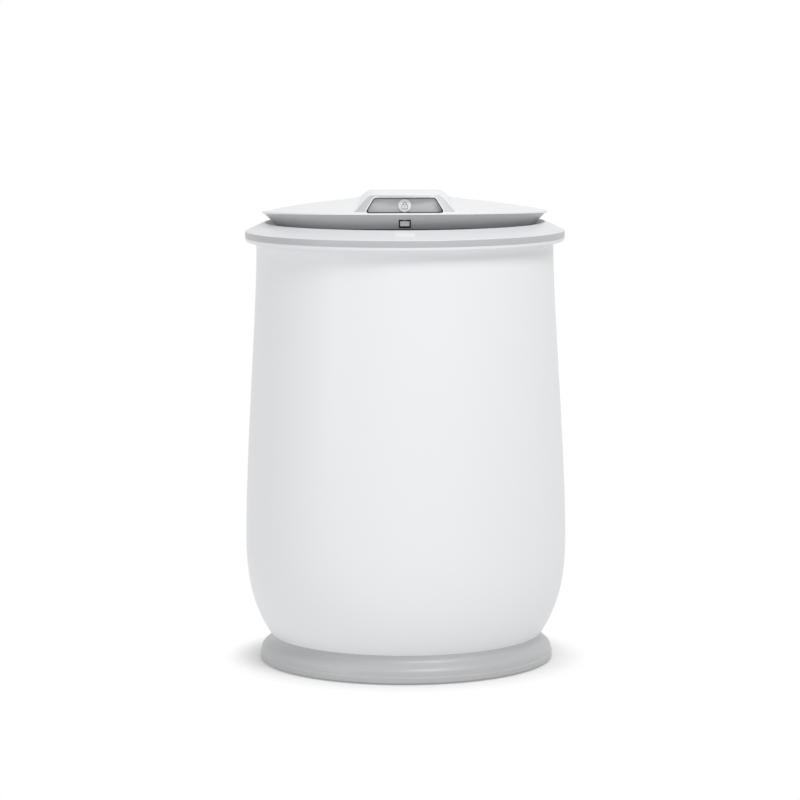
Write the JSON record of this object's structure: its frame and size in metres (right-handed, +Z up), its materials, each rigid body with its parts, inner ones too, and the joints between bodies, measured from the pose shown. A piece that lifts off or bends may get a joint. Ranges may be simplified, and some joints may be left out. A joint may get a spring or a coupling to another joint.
{
  "type": "laundry spin dryer",
  "caption": "Round free-standing laundry spin dryer with barrel cabinet, hinged domed lid with finger recess, sprung motor, perforated drum and press plate.",
  "frame": {"origin": "centre of the footprint, on the floor", "axes": "+Z up along the drum axis, -Y to the front with the lid handle, +Y to the hinge and drain spout"},
  "size_m": [0.343, 0.343, 0.5072],
  "materials": {
    "white_gloss": "smooth gloss moulding",
    "deck_grey": "satin gloss moulding",
    "satin_grey": "fine satin moulding",
    "window_white": "smooth blank inlay",
    "paddle_grey": "fine satin moulding",
    "rubber_black": "matt rubber",
    "zinc_steel": "zinc plated",
    "bright_steel": "ground and brushed",
    "tub_plastic": "plain moulding",
    "cast_aluminium": "as cast",
    "motor_paint": "grey paint",
    "copper_wire": null,
    "dark_plastic": "plain moulding",
    "can_aluminium": "drawn can"
  },
  "bodies": {
    "root": {"feet": "rubber_black", "base_screws": "zinc_steel", "base_ring": "satin_grey", "base_plate": "zinc_steel", "cabinet": "white_gloss", "cabinet_rim": "white_gloss", "cabinet_screws": "zinc_steel", "deck": "deck_grey", "status_window": "window_white", "latch_strike": "zinc_steel", "deck_screws": "zinc_steel", "tub_seal": "rubber_black", "catch_tub": "tub_plastic", "drain_hose": "rubber_black", "drain_spout": "dark_plastic", "cord_gland": "rubber_black", "hinge_brackets": "deck_grey", "hinge_pins": "bright_steel", "lid_springs": "zinc_steel", "capacitor": "can_aluminium", "capacitor_clamp": "zinc_steel", "control_box": "dark_plastic", "wire_harness": "dark_plastic", "lid_switch": "dark_plastic", "cable_bracket": "zinc_steel", "brake_cable": "dark_plastic", "lower_spring_cups": "rubber_black", "suspension_springs": "zinc_steel"},
    "motor_unit": {"upper_spring_cups": "rubber_black", "motor_frame": "zinc_steel", "lower_end_bell": "cast_aluminium", "motor_can": "motor_paint", "upper_end_bell": "cast_aluminium", "stator_core": "bright_steel", "windings": "copper_wire", "shaft_bearings": "bright_steel", "motor_bolts": "zinc_steel", "shaft_bellows": "rubber_black", "brake_pivot_pin": "bright_steel"},
    "drum_unit": {"drum_shaft": "bright_steel", "motor_rotor": "bright_steel", "brake_wheel": "bright_steel", "drum_hub": "cast_aluminium", "drum": "bright_steel", "drum_nut": "bright_steel", "balance_ring": "tub_plastic"},
    "press_disc": {"press_plate": "tub_plastic"},
    "brake": {"brake_arm": "zinc_steel", "brake_shoe": "rubber_black", "brake_spring": "zinc_steel"},
    "lid": {"lid_shell": "white_gloss", "lid_liner": "satin_grey", "lid_gasket": "rubber_black", "lid_screws": "zinc_steel", "hinge_leaves": "zinc_steel", "handle_tray": "satin_grey", "latch_guide": "dark_plastic"},
    "paddle": {"lock_paddle": "paddle_grey"},
    "bolt": {"latch_bolt": "paddle_grey"},
    "lever": {"switch_lever": "zinc_steel"}
  },
  "joints": [
    {"name": "lid_hinge", "type": "hinge", "parent": "root", "child": "lid", "pos_m": [0, 0.155, 0.4723], "axis": [-1, 0, 0], "range_deg": [-2.45, 77.5], "stiffness_Nm_per_rad": 0.5, "springref_deg": 73.84},
    {"name": "paddle_press", "type": "hinge", "parent": "lid", "child": "paddle", "pos_m": [0, -0.13339, 0.49264], "axis": [-1, 0, 0], "range_deg": [0, 19.4]},
    {"name": "bolt_slide", "type": "slide", "parent": "lid", "child": "bolt", "axis": [0, -0.9991, 0.0427], "range_m": [0, 0.006]},
    {"name": "motor_bounce", "type": "slide", "parent": "root", "child": "motor_unit", "axis": [0, 0, 1], "range_m": [-0.005, 0.003], "stiffness_N_per_m": 24000, "springref_m": 0.00286, "deforming": ["suspension_springs", "shaft_bellows"]},
    {"name": "drum_spin", "type": "hinge", "parent": "motor_unit", "child": "drum_unit", "pos_m": [0, 0, 0.25], "axis": [0, 0, 1], "continuous": true},
    {"name": "press_lift", "type": "slide", "parent": "drum_unit", "child": "press_disc", "axis": [0, 0, 1], "range_m": [0, 0.2]},
    {"name": "brake_release", "type": "hinge", "parent": "motor_unit", "child": "brake", "pos_m": [0.033, 0.058, 0.044], "axis": [0, 0, -1], "range_deg": [0, 7], "stiffness_Nm_per_rad": 0.5, "springref_deg": -11.46, "deforming": ["brake_spring"]},
    {"name": "switch_press", "type": "hinge", "parent": "root", "child": "lever", "pos_m": [0.0125, -0.1483, 0.462], "axis": [0, 0, 1], "range_deg": [0, 4], "stiffness_Nm_per_rad": 0.01, "springref_deg": -5.73}
  ],
  "couplings": [
    {"joint": "bolt_slide", "follows": "paddle_press", "m_per_rad": 0.0177}
  ]
}
